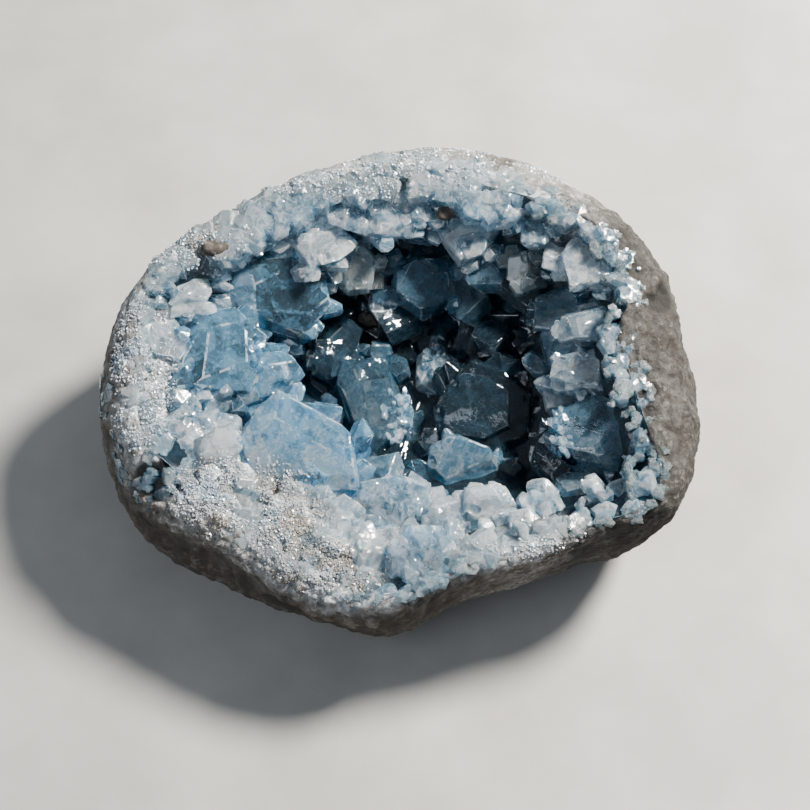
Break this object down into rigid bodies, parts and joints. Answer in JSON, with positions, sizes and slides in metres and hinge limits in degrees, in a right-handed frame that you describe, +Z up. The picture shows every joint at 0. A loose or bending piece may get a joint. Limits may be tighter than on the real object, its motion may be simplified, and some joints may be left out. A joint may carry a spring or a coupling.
{
  "type": "celestite geode",
  "caption": "Celestite geode: a ground oval rock shell, open on top, its hollow lined with a crust of pale blue blocky crystals.",
  "frame": {"origin": "centre of the flat foot, under the middle of the bounding box", "axes": "+Z up out of the open mouth, +X to the viewer's right along the long side, -Y towards the low front of the rim"},
  "size_m": [0.149, 0.1216, 0.0622],
  "materials": {
    "matrix_rock": "rough, finely pitted, ground smooth at the rim",
    "celestite": "glassy clear to milky blue, sugary white at the rim"
  },
  "bodies": {
    "root": {"rock_shell": "matrix_rock", "crystal_crust": "celestite"}
  },
  "joints": []
}
